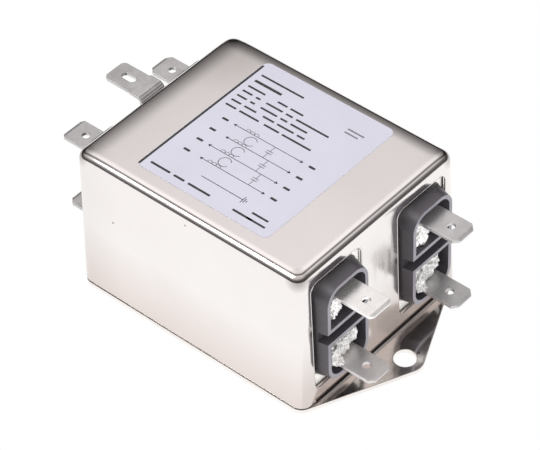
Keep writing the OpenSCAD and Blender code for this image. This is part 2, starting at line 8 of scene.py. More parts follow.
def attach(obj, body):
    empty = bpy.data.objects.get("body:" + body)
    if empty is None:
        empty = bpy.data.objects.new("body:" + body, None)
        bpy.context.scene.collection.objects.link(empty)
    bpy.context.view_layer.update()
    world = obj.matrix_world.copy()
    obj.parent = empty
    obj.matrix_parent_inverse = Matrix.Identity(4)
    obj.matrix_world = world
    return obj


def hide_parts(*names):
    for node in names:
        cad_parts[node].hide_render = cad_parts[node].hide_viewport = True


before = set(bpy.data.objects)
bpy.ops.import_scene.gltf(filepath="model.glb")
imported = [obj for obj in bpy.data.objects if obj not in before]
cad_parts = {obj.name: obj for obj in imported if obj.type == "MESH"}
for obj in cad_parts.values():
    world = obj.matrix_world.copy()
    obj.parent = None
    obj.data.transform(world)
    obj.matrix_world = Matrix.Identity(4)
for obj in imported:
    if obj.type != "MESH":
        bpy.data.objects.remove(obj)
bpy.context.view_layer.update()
MM = 0.001
SCENE = bpy.context.scene


# Camera, fitted to the photograph: its azimuth, elevation and roll in degrees, its place
# along its own right, up and back in mm, and its focal length and middle in pixels
VIEW_ANGLES = (42.984, 44.306, -2.635)
VIEW_PLACE = (-3.319, 9.215, 576.037)
IMAGE_W, IMAGE_H, FOCAL, MIDDLE_X, MIDDLE_Y = 540, 450, 2743.35, 253.244, 236.685
SENSOR_W = 36.0


def make_camera():
    azimuth, elevation, roll = (math.radians(angle) for angle in VIEW_ANGLES)
    back = Vector((math.sin(azimuth) * math.cos(elevation), -math.cos(azimuth) * math.cos(elevation),
                   math.sin(elevation)))
    right = Vector((0, 0, 1)).cross(back).normalized()
    up = back.cross(right)
    right, up = (math.cos(roll) * right + math.sin(roll) * up, math.cos(roll) * up - math.sin(roll) * right)
    data = bpy.data.cameras.new("camera")
    data.sensor_fit = "HORIZONTAL"
    data.sensor_width = SENSOR_W
    data.lens = FOCAL / IMAGE_W * SENSOR_W
    data.shift_x = (IMAGE_W / 2 - MIDDLE_X) / IMAGE_W
    data.shift_y = (MIDDLE_Y - IMAGE_H / 2) / IMAGE_W
    data.clip_start = 0.01
    camera = bpy.data.objects.new("camera", data)
    SCENE.collection.objects.link(camera)
    place = (VIEW_PLACE[0] * right + VIEW_PLACE[1] * up + VIEW_PLACE[2] * back) * MM
    camera.matrix_world = Matrix.Translation(place) @ Matrix((right, up, back)).transposed().to_4x4()
    SCENE.camera = camera


make_camera()


# Materials
class Tree:
    """Short calls for building a node tree."""

    def __init__(self, tree):
        self.tree = tree
        tree.nodes.clear()

    def add(self, kind, **values):
        node = self.tree.nodes.new(kind)
        for key, value in values.items():
            setattr(node, key, value)
        return node

    def link(self, a, b):
        self.tree.links.new(a, b)

    def ramp(self, fac, *stops):
        node = self.add("ShaderNodeValToRGB")
        elements = node.color_ramp.elements
        while len(elements) < len(stops):
            elements.new(0.5)
        for element, (position, value) in zip(elements, stops):
            element.position = position
            element.color = (*value, 1)
        self.link(fac, node.inputs[0])
        return node.outputs[0]

    def spread(self, fac, low, high, start=0.35, end=0.65):
        """Low at the start and high at the end, with a straight run between."""
        node = self.add("ShaderNodeMapRange")
        for socket, value in zip(("From Min", "From Max", "To Min", "To Max"), (start, end, low, high)):
            node.inputs[socket].default_value = value
        self.link(fac, node.inputs[0])
        return node.outputs[0]

    def math(self, operation, a, b=None):
        node = self.add("ShaderNodeMath", operation=operation)
        for socket, value in zip(node.inputs, (a, b)):
            if isinstance(value, bpy.types.NodeSocket):
                self.link(value, socket)
            elif value is not None:
                socket.default_value = value
        return node.outputs[0]

    def mix(self, fac, a, b):
        """The first colour at 0 and the second at 1."""
        node = self.add("ShaderNodeMix", data_type="RGBA")
        for socket, value in ((node.inputs[0], fac), (node.inputs[6], a), (node.inputs[7], b)):
            if isinstance(value, bpy.types.NodeSocket):
                self.link(value, socket)
            else:
                socket.default_value = value if isinstance(value, (int, float)) else (*value, 1)
        return node.outputs[2]

    def multiply(self, a, b):
        """One colour times another."""
        node = self.add("ShaderNodeMix", data_type="RGBA", blend_type="MULTIPLY")
        node.inputs[0].default_value = 1.0
        self.link(a, node.inputs[6])
        self.link(b, node.inputs[7])
        return node.outputs[2]


class Nodes(Tree):
    """The node tree of one material, round its principled shader."""

    def __init__(self, name):
        self.material = bpy.data.materials.new(name)
        self.material.use_nodes = True
        super().__init__(self.material.node_tree)
        self.out = self.add("ShaderNodeOutputMaterial")
        self.shader = self.add("ShaderNodeBsdfPrincipled")
        self.link(self.shader.outputs[0], self.out.inputs["Surface"])
        self.coords = self.add("ShaderNodeTexCoord").outputs["Object"]

    def set(self, socket, value):
        if isinstance(value, bpy.types.NodeSocket):
            self.link(value, self.shader.inputs[socket])
        else:
            self.shader.inputs[socket].default_value = value

    def noise(self, scale, detail=2.0, rough=0.5, stretch=None, warp=0.0):
        vector = self.coords
        if stretch:
            mapping = self.add("ShaderNodeMapping")
            mapping.inputs["Scale"].default_value = stretch
            self.link(vector, mapping.inputs[0])
            vector = mapping.outputs[0]
        node = self.add("ShaderNodeTexNoise")
        self.link(vector, node.inputs["Vector"])
        node.inputs["Scale"].default_value = scale
        node.inputs["Detail"].default_value = detail
        node.inputs["Roughness"].default_value = rough
        node.inputs["Distortion"].default_value = warp
        return node.outputs["Fac"]

    def bump(self, height, distance, under=None):
        node = self.add("ShaderNodeBump")
        node.inputs["Distance"].default_value = distance
        self.link(height, node.inputs["Height"])
        if under:
            self.link(under, node.inputs["Normal"])
        return node.outputs[0]

    def split(self):
        node = self.add("ShaderNodeSeparateXYZ")
        self.link(self.coords, node.inputs[0])
        return node.outputs

    def normal_x(self):
        geometry = self.add("ShaderNodeNewGeometry")
        node = self.add("ShaderNodeSeparateXYZ")
        self.link(geometry.outputs["Normal"], node.inputs[0])
        return node.outputs[0]

    def near(self, point, inner, outer):
        """1 at the point, falling to 0 between the two distances."""
        node = self.add("ShaderNodeVectorMath", operation="DISTANCE")
        self.link(self.coords, node.inputs[0])
        node.inputs[1].default_value = point
        return self.spread(node.outputs["Value"], 1.0, 0.0, inner, outer)

    def stain(self, tone, point, inner, outer, strength, colour):
        """The tone with a soft round stain about a point."""
        return self.mix(self.math("MULTIPLY", self.near(point, inner, outer), strength), tone, colour)


def plated(name, low, high, rough, scale, wave=0.00002, metallic=1.0):
    """Tin or nickel plate: cloudy colour, uneven gloss and slow waves."""
    n = Nodes(name)
    cloud = n.noise(scale, 5, 0.6, warp=0.4)
    n.set("Base Color", n.ramp(cloud, (0.35, low), (0.65, high)))
    n.set("Metallic", metallic)
    fine = n.noise(900, 3, 0.6)
    n.set("Roughness", n.spread(fine, rough[0], rough[1]))
    slow = n.bump(n.noise(45, 1, 0.4), wave)
    n.set("Normal", n.bump(fine, 0.000003, under=slow))
    return n.material


# Tones of the tinplate: painted shade at its foot, a painted dark reflection along its line end, painted
# shade at its end walls' feet, painted dark reflections at its top corners, the rubbed grey and the specks'
# brown
FOOT_PAINTED_SHADE, PAINTED_DARK_REFLECTION, END_FOOT_PAINTED_SHADE = (0.85, 0.79, 0.76), (0.4, 0.37, 0.35), (0.56, 0.5, 0.46)
CORNER_PAINTED_REFLECTION, RUBBED_GREY, SPECK_BROWN = (0.27, 0.24, 0.22), (0.42, 0.4, 0.39), (0.25, 0.22, 0.2)

# The painted dark reflection at the far corner of the top and at each top corner, small marks on the near
# wall, and the rubbed patch between the columns
FAR_CORNER = (-0.0290, 0.0235, 0.0365)
TOP_CORNER = (0.0288, 0.0230, 0.0362)
SPECKS = ((-0.0199, -0.0244, 0.0230), (0.0004, -0.0243, 0.0345))
RUBBED = (0.0301, 0.0015, 0.0241)


def can_material():
    n = Nodes("can_tinplate")
    x, _, z = n.split()
    cloud = n.noise(38, 5, 0.6, warp=0.5)
    tone = n.ramp(cloud, (0.3, (0.9, 0.86, 0.845)), (0.7, (0.94, 0.905, 0.89)))
    # Painted shade: darker and warmer towards the foot of every wall
    tone = n.multiply(tone, n.mix(n.spread(z, 0.0, 1.0, 0.001, 0.018), FOOT_PAINTED_SHADE, (1, 1, 1)))
    # Painted dark reflection: darker towards the line end of the top
    tone = n.mix(n.spread(x, 0.12, 0.0, -0.029, -0.018), tone, PAINTED_DARK_REFLECTION)
    # Painted shade: darker and tan towards the foot of the end walls
    end_wall = n.spread(n.math("ABSOLUTE", x), 0.0, 1.0, 0.0296, 0.0299)
    end_foot_shade = n.math("MULTIPLY", end_wall, n.spread(z, 0.36, 0.0, 0.006, 0.021))
    tone = n.mix(end_foot_shade, tone, END_FOOT_PAINTED_SHADE)
    # Painted dark reflection at the far corner of the top
    tone = n.stain(tone, FAR_CORNER, 0.002, 0.019, 0.55, PAINTED_DARK_REFLECTION)
    # Painted dark reflections at the four top corners
    for side_x in (-1, 1):
        for side_y in (-1, 1):
            place = (side_x * TOP_CORNER[0], side_y * TOP_CORNER[1], TOP_CORNER[2])
            tone = n.stain(tone, place, 0.0006, 0.003, 0.7, CORNER_PAINTED_REFLECTION)
    streaks = n.spread(n.noise(900, 3, 0.7, stretch=(1, 1, 0.05)), 0.0, 1.0, 0.4, 0.62)
    rubbed = n.math("MULTIPLY", n.near(RUBBED, 0.0015, 0.0065), streaks)
    tone = n.mix(n.math("MULTIPLY", rubbed, 0.1), tone, RUBBED_GREY)
    for point in SPECKS:
        tone = n.stain(tone, point, 0.00014, 0.00034, 1.0, SPECK_BROWN)
    n.set("Base Color", tone)
    n.set("Metallic", 1.0)
    gloss = n.spread(n.noise(70, 4, 0.6), 0.1, 0.16)
    n.set("Roughness", n.math("ADD", gloss, n.math("MULTIPLY", rubbed, 0.3)))
    n.set("Normal", n.bump(n.noise(30, 1.5, 0.4), 0.00002))
    return n.material


def insulator_material():
    """Dark moulding, paler where its sides near the front, with a painted highlight on its front rims."""
    n = Nodes("insulator_moulding")
    grain = n.noise(1500, 3, 0.6)
    x = n.math("ABSOLUTE", n.split()[0])
    facing = n.math("ABSOLUTE", n.normal_x())
    # Painted highlight: the front rims paler on faces that look along X
    rim_highlight = n.math("MULTIPLY", n.spread(x, 0.0, 1.0, 0.0325, 0.0327), n.spread(facing, 0.0, 1.0, 0.5, 0.95))
    side = n.spread(x, 0.0, 1.0, 0.0300, 0.0326)
    body = n.mix(side, (0.036, 0.033, 0.036), (0.066, 0.06, 0.07))
    n.set("Base Color", n.mix(rim_highlight, body, (0.22, 0.21, 0.24)))
    n.set("Roughness", n.spread(grain, 0.3, 0.42))
    n.set("Specular IOR Level", 0.6)
    n.set("Normal", n.bump(grain, 0.000005))
    return n.material


def solder_material():
    n = Nodes("solder_tin")
    grain = n.noise(700, 4, 0.6, warp=0.6)
    n.set("Base Color", n.ramp(grain, (0.3, (0.88, 0.87, 0.86)), (0.6, (1.0, 0.99, 0.98))))
    n.set("Metallic", 0.7)
    n.set("Roughness", n.spread(grain, 0.2, 0.4))
    crease = n.bump(n.noise(1100, 2, 0.5, warp=1.2), 0.00009)
    n.set("Normal", crease)
    return n.material


def plain(name, low, high, rough, scale, metallic=0.0):
    """A surface whose colour, gloss and relief all vary a little."""
    n = Nodes(name)
    grain = n.noise(scale, 4, 0.6)
    n.set("Base Color", n.ramp(grain, (0.3, low), (0.7, high)))
    n.set("Roughness", n.spread(grain, rough[0], rough[1]))
    n.set("Metallic", metallic)
    n.set("Normal", n.bump(n.noise(scale * 4, 3), 0.000008))
    return n.material


# Mesh helpers
def rounded_loop(half_x, half_y, radius, segments, straights=1):
    """Points of a rounded rectangle, anticlockwise from the +X side. Each straight run has
    as many parts as straights says, shorter towards its ends."""
    arcs = []
    for cx, cy, start in ((1, 1, 0), (-1, 1, 90), (-1, -1, 180), (1, -1, 270)):
        angles = [math.radians(start + 90 * i / segments) for i in range(segments + 1)]
        arcs.append([(cx * (half_x - radius) + radius * math.cos(angle),
                      cy * (half_y - radius) + radius * math.sin(angle)) for angle in angles])
    points = []
    for arc, following in zip(arcs, arcs[1:] + arcs[:1]):
        points += arc
        (ax, ay), (bx, by) = arc[-1], following[0]
        for i in range(1, straights):
            t = (1 - math.cos(math.pi * i / straights)) / 2
            points.append((ax + t * (bx - ax), ay + t * (by - ay)))
    return points


def loft(bm, loops, close_last=True):
    """Joins loops of equally many 3-D points, in mm, into a skin."""
    rings = [[bm.verts.new(Vector(p) * MM) for p in loop] for loop in loops]
    count = len(rings[0])
    for low, high in zip(rings, rings[1:]):
        for i in range(count):
            j = (i + 1) % count
            bm.faces.new((low[i], low[j], high[j], high[i]))
    bm.faces.new(tuple(reversed(rings[0])))
    if close_last:
        bm.faces.new(rings[-1])
    return rings


def piece_from(bm, name):
    mesh = bpy.data.meshes.new(name)
    bm.to_mesh(mesh)
    bm.free()
    piece = bpy.data.objects.new(name, mesh)
    SCENE.collection.objects.link(piece)
    return piece


def finish_mesh(bm, name, material, smooth_angle, replaces=(), weighted=True):
    """Makes a piece of a mesh: smooth but where its faces meet at more than the angle."""
    bmesh.ops.recalc_face_normals(bm, faces=bm.faces)
    piece = piece_from(bm, name)
    piece.data.materials.append(material)
    soften(piece, smooth_angle, weighted)
    register(piece, replaces)


def soften(piece, smooth_angle, weighted=True):
    mesh = piece.data
    for polygon in mesh.polygons:
        polygon.use_smooth = True
    mesh.set_sharp_from_angle(angle=math.radians(smooth_angle))
    if weighted:
        modifier = piece.modifiers.new("weighted", "WEIGHTED_NORMAL")
        modifier.keep_sharp = True
        modifier.weight = 80
        apply_modifiers(piece)


def apply_modifiers(piece):
    graph = bpy.context.evaluated_depsgraph_get()
    mesh = bpy.data.meshes.new_from_object(piece.evaluated_get(graph), preserve_all_data_layers=True,
                                           depsgraph=graph)
    piece.modifiers.clear()
    old = piece.data
    piece.data = mesh
    bpy.data.meshes.remove(old)


def register(piece, replaces=()):
    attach(piece, "root")
    if replaces:
        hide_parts(*replaces)


def bevelled_copy(node, material, width, segments):
    """The node's own form with its flat faces joined up and its edges rounded."""
    bm = bmesh.new()
    bm.from_mesh(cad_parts[node].data)
    bmesh.ops.remove_doubles(bm, verts=bm.verts, dist=1e-7)
    bmesh.ops.dissolve_limit(bm, angle_limit=math.radians(0.8), verts=bm.verts, edges=bm.edges)
    piece = piece_from(bm, node + "_piece")
    piece.data.materials.append(material)
    modifier = piece.modifiers.new("bevel", "BEVEL")
    modifier.width = width * MM
    modifier.segments = segments
    modifier.limit_method = "ANGLE"
    modifier.angle_limit = math.radians(30)
    modifier.miter_outer = "MITER_ARC"
    modifier.use_clamp_overlap = True
    apply_modifiers(piece)
    soften(piece, 40)
    register(piece, (node,))


def carve(piece, cutters):
    """Cuts each cutter out of the piece and takes the cutters away."""
    for cutter in cutters:
        modifier = piece.modifiers.new("cut", "BOOLEAN")
        modifier.operation = "DIFFERENCE"
        modifier.solver = "EXACT"
        modifier.object = cutter
    apply_modifiers(piece)
    for cutter in cutters:
        bpy.data.objects.remove(cutter)


def end_prism(x_from, x_to, loop):
    """A cutter whose loop of (y, z) points runs along X."""
    bm = bmesh.new()
    loft(bm, [[(x, y, z) for y, z in loop] for x in (x_from, x_to)])
    bmesh.ops.recalc_face_normals(bm, faces=bm.faces)
    return piece_from(bm, "cutter")


def outline_normals(loop):
    """Adds to each (y, z) point its outward direction."""
    count = len(loop)
    result = []
    for i, (y, z) in enumerate(loop):
        ay, az = loop[i - 1]
        by, bz = loop[(i + 1) % count]
        dy, dz = by - ay, bz - az
        length = math.hypot(dy, dz) or 1
        result.append((y, z, dz / length, -dy / length))
    return result


def plate(outlines, thickness, edge):
    """A flat plate in the XY plane, in mm, with rounded edges: the first outline runs
    anticlockwise, and the holes after it clockwise."""
    curve = bpy.data.curves.new("plate", "CURVE")
    curve.dimensions = "2D"
    curve.fill_mode = "BOTH"
    curve.extrude = (thickness / 2 - edge) * MM
    curve.bevel_depth = edge * MM
    curve.bevel_resolution = 2
    curve.offset = -edge * MM
    for outline in outlines:
        spline = curve.splines.new("POLY")
        spline.points.add(len(outline) - 1)
        for point, (x, y) in zip(spline.points, outline):
            point.co = (x * MM, y * MM, 0, 1)
        spline.use_cyclic_u = True
    source = bpy.data.objects.new("plate", curve)
    SCENE.collection.objects.link(source)
    graph = bpy.context.evaluated_depsgraph_get()
    mesh = bpy.data.meshes.new_from_object(source.evaluated_get(graph))
    bpy.data.objects.remove(source)
    bpy.data.curves.remove(curve)
    bm = bmesh.new()
    bm.from_mesh(mesh)
    bpy.data.meshes.remove(mesh)
    bmesh.ops.remove_doubles(bm, verts=bm.verts, dist=2e-7)
    return bm


def slice_across(bm, places):
    """Adds an edge loop across the plate at each place along X, in mm."""
    for x in places:
        everything = bm.verts[:] + bm.edges[:] + bm.faces[:]
        bmesh.ops.bisect_plane(bm, geom=everything, plane_co=(x * MM, 0, 0), plane_no=(1, 0, 0), dist=1e-7)


def circle(x, y, radius):
    """Clockwise points of a hole."""
    steps = 40
    angles = [-2 * math.pi * i / steps for i in range(steps)]
    return [(x + radius * math.cos(angle), y + radius * math.sin(angle)) for angle in angles]


def tube(bm, path, radius, sides):
    """A closed round rod along 3-D points in mm."""
    rings = []
    for i, point in enumerate(path):
        ahead = (Vector(path[min(i + 1, len(path) - 1)]) - Vector(path[max(i - 1, 0)])).normalized()
        side = ahead.cross(Vector((0.3, 0.2, 1))).normalized()
        up = ahead.cross(side)
        rings.append([Vector(point) + radius * (math.cos(a) * side + math.sin(a) * up)
                      for a in (2 * math.pi * k / sides for k in range(sides))])
    loft(bm, rings)


def box(bm, low, high):
    """An upright box between two corners, in mm."""
    loft(bm, [[(low[0], low[1], z), (high[0], low[1], z), (high[0], high[1], z), (low[0], high[1], z)]
              for z in (low[2], high[2])])


# Sizes in mm, the same as the solids' but for the smaller radius of the upright corners
CAN_L, CAN_W, CAN_H, BASE_T = 59.8, 48.3, 36.2, 1.0
CAN_TOP = BASE_T + CAN_H
DRAFT, CORNER_R, EDGE_R, WALL = 0.7, 2.7, 1.4, 0.7
SLOPE = DRAFT / (CAN_H - EDGE_R - WALL)
COLUMN_Y, COLUMN_Z = 13.25, 19.4
WINDOW_W, WINDOW_LOW, WINDOW_HIGH, WINDOW_R = 15.4, 4.4, 33.6, 2.0
CUP_FLOOR_X = 28.5
TAB_BACK_X, TAB_TIP_X, TAB_Z, TAB_W, TAB_T = 26.15, 41.5, 9.25, 6.35, 0.8
TAB_HOLE_X, TAB_HOLE_R = 37.5, 0.9

# Sizes of the finer pieces alone: where the windows' cutters start and end, the radius of
# the windows' lips, and how long the tabs' tips taper and by what share
CUT_FROM_X, CUT_TO_X, LIP_R = 26, 33, 0.22
TIP_RUN, TIP_THINNING = 0.75, 0.6

# The drawn top falls away towards its rounded edge, over a long reach at the line end, a
# shorter one at the far side and the shortest at the load end and the near side
LINE_REACH, FAR_REACH, SHORT_REACH = 4.6, 3.4, 1.0
CROWN_TILT, BEND_R = math.radians(11), 1.9

# Loops of the can's skin: how far in from the bend they lie on the top, steps round each
# corner, along each side and down the bend, and on the wall their heights and tucks
TOP_LOOPS = (9.0, 6.5, 5.6, 5.0, 4.4, 3.8, 3.2, 2.8, 2.4, 2.0, 1.6, 1.2, 1.0, 0.8, 0.6, 0.4, 0.2, 0.0)
CORNER_STEPS, SIDE_STEPS, BEND_STEPS = 12, 16, 12
WALL_LOOPS = ((34, 0), (28, 0), (22, 0), (16, 0), (10, 0), (5, 0), (2.5, 0), (1.6, 0), (1.4, 0.03),
              (1.25, 0.14))


def wall_x(z):
    """How far out the end wall lies at a height."""
    return CAN_L / 2 + SLOPE * max(CAN_TOP - EDGE_R - z, 0)


def crown_drop(x, y, flat_x, flat_y):
    """How far the top has fallen at a point, from the sides of its nearly flat part."""
    drop = 0
    for gap, reach in ((flat_x + x, LINE_REACH), (flat_y - y, FAR_REACH),
                       (flat_x - x, SHORT_REACH), (flat_y + y, SHORT_REACH)):
        drop += reach * math.tan(CROWN_TILT) / 2 * max(1 - gap / reach, 0) ** 2
    return drop


def can_loops(inset):
    """Loops of the can's skin, from the middle of its top down to its mouth."""
    loops = []
    half_x, half_y = CAN_L / 2 - inset, CAN_W / 2 - inset
    corner, bend, top = CORNER_R - inset, BEND_R - inset * 0.8, CAN_TOP - inset
    rise = bend * (1 - math.sin(CROWN_TILT))
    flat_x, flat_y = half_x - rise, half_y - rise
    for back in TOP_LOOPS:
        radius = max(corner - rise - back * 0.2, 0.3)
        loops.append([(x, y, top - crown_drop(x, y, flat_x, flat_y)) for x, y in
                      rounded_loop(flat_x - back, flat_y - back, radius, CORNER_STEPS, SIDE_STEPS)])
    border = loops[-1]
    for i in range(1, BEND_STEPS + 1):
        angle = CROWN_TILT + (math.pi / 2 - CROWN_TILT) * i / BEND_STEPS
        grow = bend * (math.sin(angle) - math.sin(CROWN_TILT))
        drop = bend * (math.cos(CROWN_TILT) - math.cos(angle))
        outline = rounded_loop(flat_x + grow, flat_y + grow, corner - rise + grow, CORNER_STEPS, SIDE_STEPS)
        loops.append([(x, y, start[2] - drop) for (x, y), start in zip(outline, border)])
    for z, tuck in WALL_LOOPS:
        lean = min(SLOPE * (CAN_TOP - EDGE_R - z), DRAFT) - tuck
        loops.append([(x, y, z) for x, y in
                      rounded_loop(half_x + lean, half_y + lean, corner, CORNER_STEPS, SIDE_STEPS)])
    return loops


def window_outline():
    """Points (y, z) of a window about its column's middle, anticlockwise."""
    middle = (WINDOW_LOW + WINDOW_HIGH) / 2 - COLUMN_Z
    return [(y, z + middle) for y, z in
            rounded_loop(WINDOW_W / 2, (WINDOW_HIGH - WINDOW_LOW) / 2, WINDOW_R, 10)]


def make_can(material):
    bm = bmesh.new()
    outer_rings = loft(bm, can_loops(0), close_last=False)
    inner_rings = loft(bm, can_loops(WALL), close_last=False)
    low_out, low_in = outer_rings[-1], inner_rings[-1]
    count = len(low_out)
    for i in range(count):
        j = (i + 1) % count
        bm.faces.new((low_out[i], low_out[j], low_in[j], low_in[i]))
    bmesh.ops.recalc_face_normals(bm, faces=bm.faces)
    piece = piece_from(bm, "can_piece")
    piece.data.materials.append(material)
    cutters = []
    for end in (-1, 1):
        for row in (-1, 1):
            loop = [(y + row * COLUMN_Y, z + COLUMN_Z) for y, z in window_outline()]
            cutters.append(end_prism(end * CUT_FROM_X, end * CUT_TO_X, loop))
    carve(piece, cutters)
    soften(piece, 32, weighted=False)
    register(piece, ("can_shell",))


def make_window_lips(material):
    """The sheet's rounded edge round each window."""
    bm = bmesh.new()
    loop = outline_normals(window_outline())
    count, sides = len(loop), 8
    angles = [2 * math.pi * k / sides for k in range(sides)]
    for end in (-1, 1):
        for row in (-1, 1):
            rings = []
            for y, z, out_y, out_z in loop:
                ring = []
                for angle in angles:
                    a, b = LIP_R * math.cos(angle), LIP_R * math.sin(angle)
                    height = COLUMN_Z + z + a * out_z
                    ring.append(bm.verts.new(Vector((end * (wall_x(height) - LIP_R * 0.75 + b),
                                                     row * COLUMN_Y + y + a * out_y, height)) * MM))
                rings.append(ring)
            for i in range(count):
                j = (i + 1) % count
                for k in range(sides):
                    m = (k + 1) % sides
                    bm.faces.new((rings[i][k], rings[j][k], rings[j][m], rings[i][m]))
    finish_mesh(bm, "window_lips", material, 80, weighted=False)


# The bead's radius, its middle outward and upward from the foot, and its half length
BEAD_R, BEAD_OUT, BEAD_UP, BEAD_HALF = 0.22, 0.42, 0.14, 20.6


def make_foot_beads(material):
    """The bead along the can's foot at each ear."""
    bm = bmesh.new()
    for end in (-1, 1):
        x = end * (CAN_L / 2 + DRAFT + BEAD_OUT)
        tube(bm, [(x, y, BASE_T + BEAD_UP) for y in (-BEAD_HALF, -10, 0, 10, BEAD_HALF)], BEAD_R, 14)
    finish_mesh(bm, "foot_beads", material, 80, weighted=False)


TINPLATE = can_material()
make_can(TINPLATE)
make_window_lips(TINPLATE)
PLATE_TIN = plated("plate_tin", (0.88, 0.83, 0.79), (0.97, 0.93, 0.9), (0.1, 0.18), 50, 0.00004)
make_foot_beads(PLATE_TIN)


# Base plate, with ears that run tangent from its corners to their round tips
EAR_X, EAR_R, HOLE_R = 36.6, 4.1, 2.375


def make_base(material):
    corner_x, corner_y = CAN_L / 2 + DRAFT - CORNER_R, CAN_W / 2 + DRAFT - CORNER_R
    run = EAR_X - corner_x
    lean = math.atan2(corner_y, run)
    spread = math.asin((CORNER_R - EAR_R) / math.hypot(run, corner_y))
    first = math.pi / 2 - lean - spread
    steps = 16
    outline = []
    for x, y, radius, a, b in ((EAR_X, 0, EAR_R, -first, first),
                               (corner_x, corner_y, CORNER_R, first, math.pi / 2)):
        angles = [a + (b - a) * i / steps for i in range(steps + 1)]
        outline += [(x + radius * math.cos(angle), y + radius * math.sin(angle)) for angle in angles]
    quarter = outline[steps // 2:]
    half = [(-x, y) for x, y in reversed(quarter)]
    upper = quarter + half
    lower = [(-x, -y) for x, y in upper]
    bm = plate([upper + lower[1:-1], circle(EAR_X, 0, HOLE_R), circle(-EAR_X, 0, HOLE_R)], BASE_T, 0.14)
    for vert in bm.verts:
        vert.co.z += BASE_T / 2 * MM
    finish_mesh(bm, "base_plate_piece", material, 12, ("base_plate",), weighted=False)


def make_gap_shadow(material):
    """A dark strip between the can's foot and the plate: painted shadow for the gap."""
    bm = bmesh.new()
    tuck, sunk = 0.13, BASE_T - 0.1
    foot_x, foot_y = CAN_L / 2 + DRAFT, CAN_W / 2 + DRAFT
    loop = rounded_loop(foot_x - tuck, foot_y - tuck, CORNER_R - tuck, 12)
    loft(bm, [[(x, y, z) for x, y in loop] for z in (sunk, BASE_T + 0.4)])
    # Painted shadow along the foot of each end wall, across the ear
    for end in (-1, 1):
        x_low, x_high = sorted((end * (foot_x - 0.2), end * (foot_x + 0.3)))
        box(bm, (x_low, -BEAD_HALF, sunk), (x_high, BEAD_HALF, BASE_T + 0.06))
    finish_mesh(bm, "foot_seam_painted_shadow", material, 40, weighted=False)


make_base(PLATE_TIN)
# A dark material for the painted shadow at the can's foot
make_gap_shadow(plain("seam_painted_shadow", (0.03, 0.027, 0.025), (0.06, 0.055, 0.05), (0.5, 0.7), 200))

MOULDING = insulator_material()
for name in ("load_insulator_1", "load_insulator_2", "line_insulator_1", "line_insulator_2"):
    bevelled_copy(name, MOULDING, 0.16, 3)


# Terminal tabs, each with its own tone of painted light and shade, its own gloss and tip
def tab_outline(tip_cut):
    half = TAB_W / 2
    return [(TAB_BACK_X, -half), (TAB_TIP_X - tip_cut, -half), (TAB_TIP_X, -half + tip_cut),
            (TAB_TIP_X, half - tip_cut), (TAB_TIP_X - tip_cut, half), (TAB_BACK_X, half)]


def make_tab(node, material, tip_cut):
    end = 1 if node.startswith("load") else -1
    number = int(node[-1])
    row = -1 if number % 2 else 1
    level = 1 if number < 3 else -1
    bm = plate([tab_outline(tip_cut), circle(TAB_HOLE_X, 0, TAB_HOLE_R)], TAB_T, 0.08)
    slice_across(bm, (TAB_TIP_X - TIP_RUN,))
    for vert in bm.verts:
        past = max(vert.co.x / MM - (TAB_TIP_X - TIP_RUN), 0) / TIP_RUN
        vert.co.z *= 1 - TIP_THINNING * past
        vert.co.x *= end
        vert.co.y += row * COLUMN_Y * MM
        vert.co.z += (COLUMN_Z + level * TAB_Z) * MM
    finish_mesh(bm, node + "_piece", material, 12, (node,), weighted=False)


# The tones of the tabs, paler or darker by how light falls on each, which is painted light and shade, each
# as two tones and the range of roughness, and the cuts at the tips of the four tabs at an end
TAB_PAINTED_TONES_AND_GLOSS = (
    ((0.94, 0.91, 0.9), (1.0, 0.98, 0.97), (0.25, 0.35)),
    ((0.58, 0.57, 0.57), (0.68, 0.67, 0.67), (0.32, 0.42)),
    ((0.68, 0.65, 0.64), (0.77, 0.75, 0.74), (0.34, 0.46)),
    ((0.54, 0.53, 0.53), (0.64, 0.63, 0.63), (0.34, 0.46)))
TIP_CUTS = (0.7, 1.2, 1.1, 1.2)
TAB_TINS = [plated("tab_tin_%d" % i, low, high, rough, 260, metallic=0.8)
            for i, (low, high, rough) in enumerate(TAB_PAINTED_TONES_AND_GLOSS)]
for end_name, tins in (("load", (0, 1, 2, 3)), ("line", (1, 1, 3, 3))):
    for number, (tin, tip_cut) in enumerate(zip(tins, TIP_CUTS), 1):
        make_tab("%s_tab_%d" % (end_name, number), TAB_TINS[tin], tip_cut)


# Ground tab, cut flat along u from its tip and folded down the can's end wall
GROUND_TIP_X, GROUND_MID_Z, FOLD_X, FOLD_Z, FOLD_R = 41.4, 35.8, 31.8, 34.6, 1.2
GROUND_END_Z, GROUND_HALF, ROOT_HALF = 23.4, 3.1, 3.5


